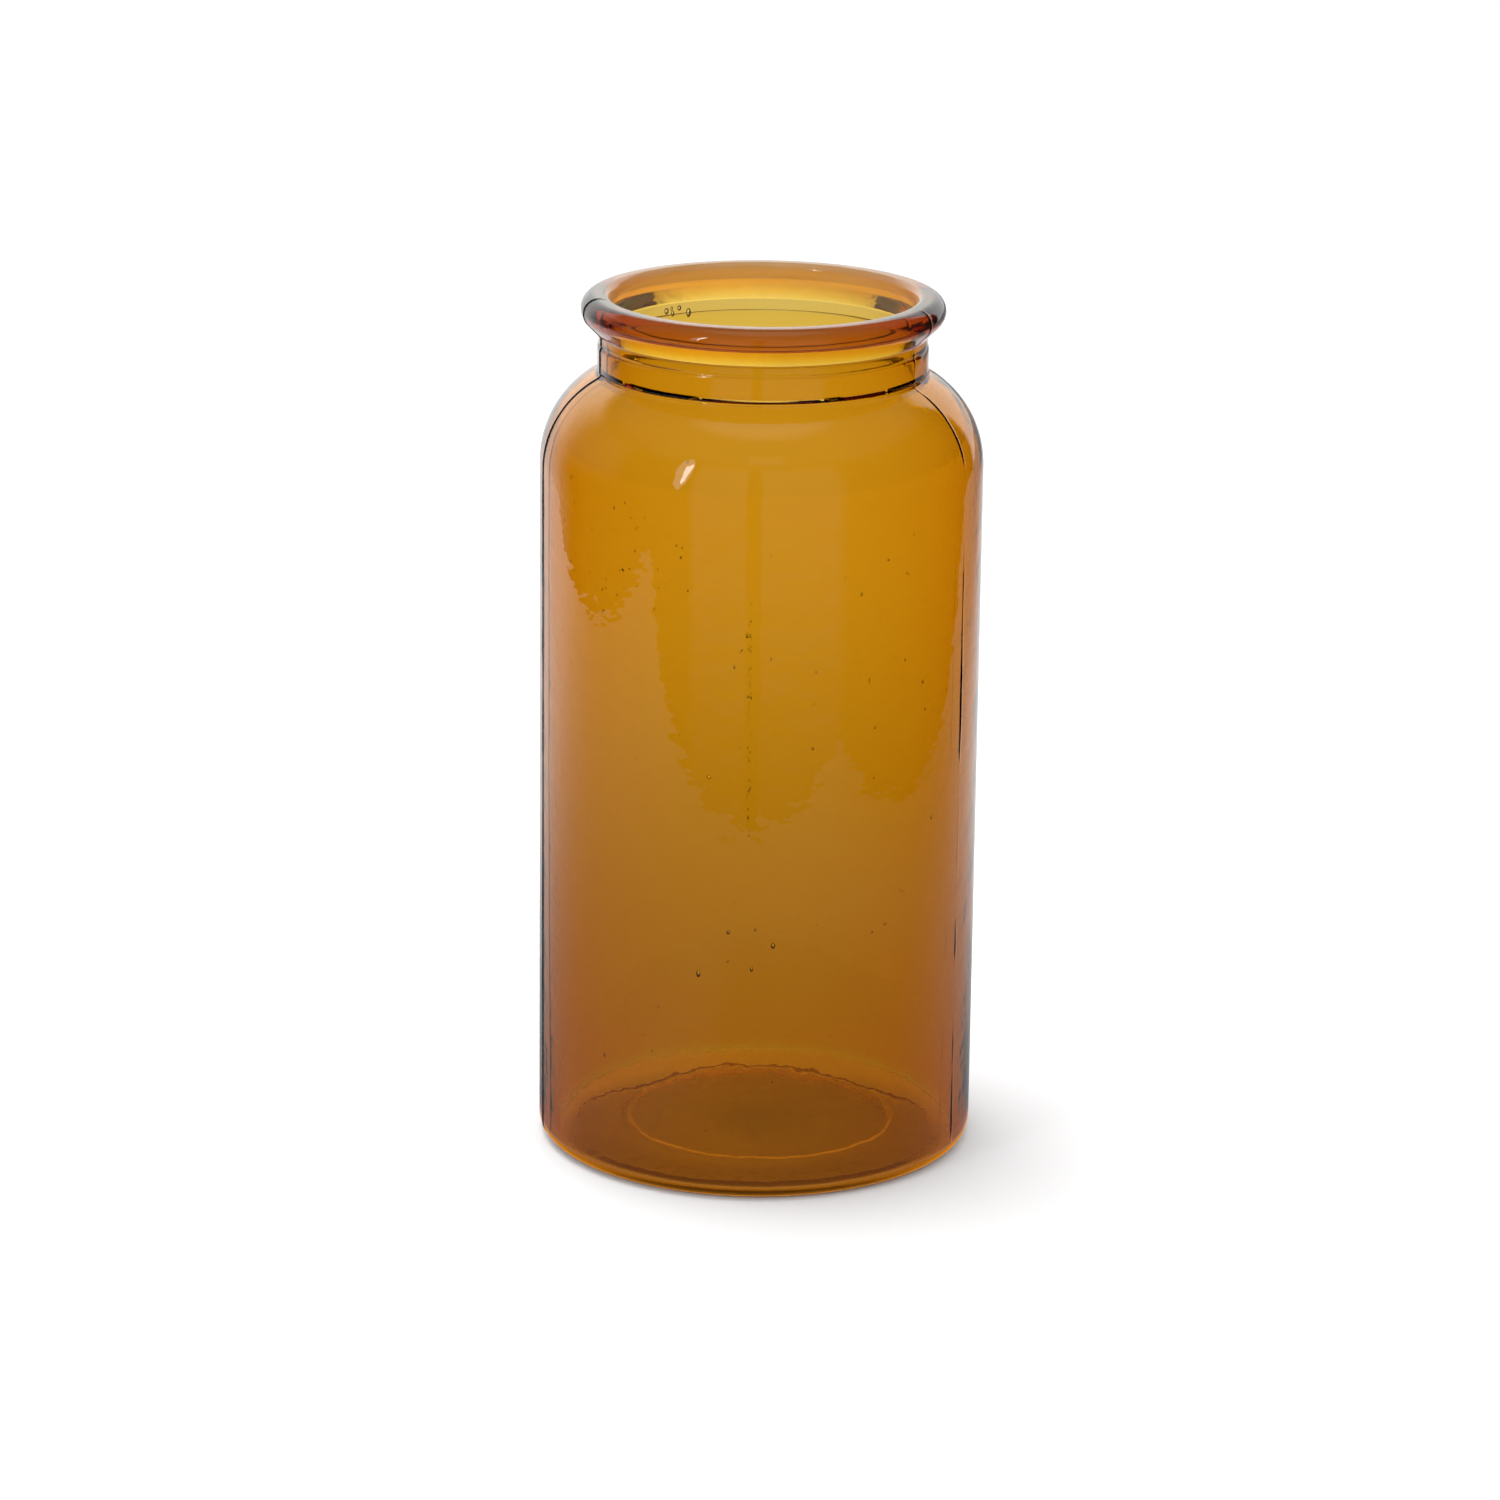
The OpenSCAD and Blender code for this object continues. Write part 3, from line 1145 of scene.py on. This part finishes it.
@dataclass(frozen=True)
class MirroredRoom:
    """How bright the studio is in each direction, as the glass mirrors it.

    The side runs from -1 at the left to 1 at the right, the depth from -1 in front to 1 behind, and
    the rise from -1 below to 1 overhead. A ramp begins at its first number and is full at its
    second, and a bump has a middle and a reach.
    """

    backdrop: float = 1.1
    backdrop_depth: Ramp = (0.75, 0.8)
    left_half: Ramp = (0.02, -0.02)
    left_depth: Ramp = (0.4, 0.85)
    left_wall: float = 0.17
    left_wall_depth: Ramp = (-0.3, 0.0)
    left_wall_rise: Ramp = (-0.1, 0.2)
    front: float = 0.26
    front_left: Ramp = (-0.62, -0.54)
    front_right: Ramp = (0.74, 0.62)
    front_depth: Ramp = (0.0, -0.1)
    front_rise: Ramp = (-0.295, -0.235)
    front_foot: float = 0.15
    stand_bump: tuple[float, float] = (-0.06, 0.08)
    walls_end: Ramp = (0.62, 0.5)
    ceiling: float = 0.14
    ceiling_rise: Ramp = (0.5, 0.7)
    skylight: float = 0.55
    skylight_rise: Ramp = (0.9, 0.985)
    window: float = 0.2
    window_side: tuple[float, float] = (0.05, 0.24)
    window_rise: tuple[float, float] = (0.7, 0.075)

    def glow(self, book: NodeBook, way: bpy.types.NodeSocket) -> bpy.types.NodeSocket:
        """Works out the brightness in a direction.

        Args:
            book: The world's tree.
            way: The direction.

        Returns:
            The brightness.
        """
        x, y, rise = book.split(way)
        flat = book.math("SQRT", book.math("MULTIPLY_ADD", x, x, book.times(y, y)))
        side, depth = book.math("DIVIDE", x, flat), book.math("DIVIDE", y, flat)
        left = book.smooth_step(side, *self.left_half)
        behind = book.math(
            "MAXIMUM",
            book.times(left, book.smooth_step(depth, *self.left_depth)),
            book.smooth_step(depth, *self.backdrop_depth),
        )
        wall = book.times(
            left,
            book.smooth_step(depth, *self.left_wall_depth),
            book.times(book.smooth_step(rise, *self.left_wall_rise), self.left_wall),
        )
        foot = book.math("MULTIPLY_ADD", book.smooth_step(rise, *self.front_rise),
                         1 - self.front_foot, self.front_foot)
        ahead = book.times(
            book.smooth_step(side, *self.front_left),
            book.smooth_step(side, *self.front_right),
            book.smooth_step(depth, *self.front_depth),
            book.rest(self.bump(book, side, *self.stand_bump)),
            book.times(foot, self.front),
        )
        walls = book.math("MULTIPLY_ADD", behind, self.backdrop, book.plus(wall, ahead))
        top = book.times(book.smooth_step(rise, *self.ceiling_rise), self.ceiling)
        top = book.math("MULTIPLY_ADD", book.smooth_step(rise, *self.skylight_rise), self.skylight, top)
        window = book.times(
            self.bump(book, side, *self.window_side),
            self.bump(book, rise, *self.window_rise),
            book.smooth_step(depth, *self.front_depth),
        )
        top = book.math("MULTIPLY_ADD", window, self.window, top)
        return book.math("MULTIPLY_ADD", walls, book.smooth_step(rise, *self.walls_end), top)

    @staticmethod
    def bump(book: NodeBook, value: bpy.types.NodeSocket, middle: float,
             reach: float) -> bpy.types.NodeSocket:
        """Adds a smooth bump over a value, 1 in the middle and 0 beyond its reach."""
        off = book.math("ABSOLUTE", book.math("SUBTRACT", value, middle))
        return book.smooth_step(off, reach, 0.6 * reach)


@dataclass
class Studio:
    """A plain pale floor under soft light, and the studio that the glass mirrors."""

    floor_reach: float = 30.0
    paper: TablePaper = TablePaper()
    table: tuple[Point, ...] = (
        (-0.80, -0.52), (-0.50, -0.47), (0.10, -0.51), (0.40, -0.48), (0.59, 0.18), (3.0, 5.0),
        (3.0, 30.0), (-3.0, 30.0), (-0.80, 1.2),
    )
    behind_glass: float = 1.25
    room: MirroredRoom = MirroredRoom()

    def build(self) -> None:
        """Makes the floor, the cards, the surroundings and the lamps."""
        self.floor()
        for panel in self.panels():
            panel.build()
        self.world()
        self.lamps()

    def floor(self) -> None:
        """Makes the plain floor that the camera sees."""
        reach = self.floor_reach
        mesh = bpy.data.meshes.new("floor")
        mesh.from_pydata([(-reach, -reach, 0), (reach, -reach, 0), (reach, reach, 0), (-reach, reach, 0)],
                         [], [(0, 1, 2, 3)])
        mesh.materials.append(self.paper.make())
        floor = bpy.data.objects.new("floor", mesh)
        floor.visible_glossy = floor.visible_transmission = False
        bpy.context.scene.collection.objects.link(floor)

    def panels(self) -> list[Panel]:
        """Lists the cards that stand for the table in the glass: mirrored by it, and seen through it.

        Returns:
            The cards.
        """
        reach = self.floor_reach
        square = ((-reach, -reach), (reach, -reach), (reach, reach), (-reach, reach))
        return [
            Panel(self.table, MirroredTable("mirrored_table", 0.28)),
            Panel(square, TableThroughGlass("table_through_glass", 0.53), SeenBy.THROUGH_GLASS),
        ]

    def world(self) -> None:
        """Makes the surroundings: white, brighter through the glass, and a dim studio in its mirror."""
        world = bpy.data.worlds.new("studio")
        bpy.context.scene.world = world
        world.use_nodes = True
        book = NodeBook(world.node_tree)
        background = world.node_tree.nodes["Background"]
        background.inputs["Color"].default_value = (1, 1, 1, 1)
        way = book.add("ShaderNodeTexCoord").outputs["Generated"]
        path = book.add("ShaderNodeLightPath")
        seen = self.choice(book, path.outputs["Is Transmission Ray"], 1.0, self.behind_glass)
        seen = self.choice(book, path.outputs["Is Glossy Ray"], seen, self.room.glow(book, way))
        book.put(background.inputs["Strength"], seen)

    @staticmethod
    def choice(book: NodeBook, switch: bpy.types.NodeSocket, off: Any, on: Any) -> bpy.types.NodeSocket:
        """Picks one of two numbers by a switch that is 0 or 1."""
        mix = book.add("ShaderNodeMix", {0: switch, 2: off, 3: on}, data_type="FLOAT")
        return mix.outputs[0]

    def lamps(self) -> None:
        """Hangs the lamps: one over the floor, and two tall ones for the highlight on the glass."""
        top = self.lamp("overhead", (-0.5, 0.4, 2.2), 1.6, 30.0)
        top.visible_glossy = top.visible_transmission = False
        self.tall_lamp("key", (-1.12, -1.3, 1.0), (0.1, 0.75), 1.8)
        self.tall_lamp("key_spread", (-1.18, -1.3, 0.95), (0.26, 1.1), 1.3)

    @classmethod
    def tall_lamp(cls, name: str, place: Sequence[float], size: tuple[float, float], power: float) -> None:
        """Hangs a tall leaning lamp, which the glass mirrors as a highlight.

        Args:
            name: The lamp's name.
            place: Where it hangs.
            size: Its width and height.
            power: Its power in watts.
        """
        lamp = cls.lamp(name, place, size[0], power)
        lamp.data.shape = "ELLIPSE"
        lamp.data.size_y = size[1]
        lamp.rotation_euler.rotate_axis("Z", math.radians(-4))
        lamp.visible_transmission = False

    @staticmethod
    def lamp(name: str, place: Sequence[float], size: float, power: float) -> bpy.types.Object:
        """Hangs a square lamp that faces the jar.

        Args:
            name: The lamp's name.
            place: Where it hangs.
            size: Its width.
            power: Its power in watts.

        Returns:
            The lamp.
        """
        light = bpy.data.lights.new(name, "AREA")
        light.size = size
        light.energy = power
        lamp = bpy.data.objects.new(name, light)
        lamp.location = place
        lamp.rotation_euler = (Vector((0, 0, 0.15)) - Vector(place)).to_track_quat("-Z", "Y").to_euler()
        bpy.context.scene.collection.objects.link(lamp)
        return lamp


@dataclass
class StudioCamera:
    """A long lens in front of the jar, a little above it and looking down."""

    distance: float = 1.8117
    height: float = 0.6747
    pitch: float = math.radians(16.49)
    yaw: float = math.radians(0.09)
    roll: float = math.radians(0.67)
    lens: float = 130.4

    def build(self) -> bpy.types.Object:
        """Places the camera and makes it the scene's.

        Returns:
            The camera.
        """
        data = bpy.data.cameras.new("camera")
        data.lens = self.lens
        data.sensor_width = 36
        camera = bpy.data.objects.new("camera", data)
        turn = Matrix.Rotation(self.yaw, 4, "Z") @ Matrix.Rotation(math.pi / 2 - self.pitch, 4, "X")
        camera.matrix_world = (
            Matrix.Translation((0, -self.distance, self.height)) @ turn @ Matrix.Rotation(self.roll, 4, "Z")
        )
        bpy.context.scene.collection.objects.link(camera)
        bpy.context.scene.camera = camera
        return camera


def mouth_radius() -> float:
    """The mouth's radius in metres, from the frame's record."""
    mounts = {mount["name"]: mount for mount in frame["record"]["mounts"]}
    return mounts["mouth_bore"]["dims"]["r_mm"] * MM


def main() -> None:
    """Builds the studio, the camera and the jar, and logs the studio and the jar's faces."""
    logging.basicConfig(level=logging.INFO, format="%(name)s: %(message)s")
    Studio().build()
    LOG.info("studio set")
    StudioCamera().build()
    low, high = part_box(JAR_NODE)
    jar = MouldedJar(high.z - low.z, high.x, mouth_radius()).build()
    LOG.info("%s: %d faces", jar.name, len(jar.data.polygons))
    bpy.context.scene.view_settings.view_transform = "Standard"


if __name__ == "__main__":
    main()
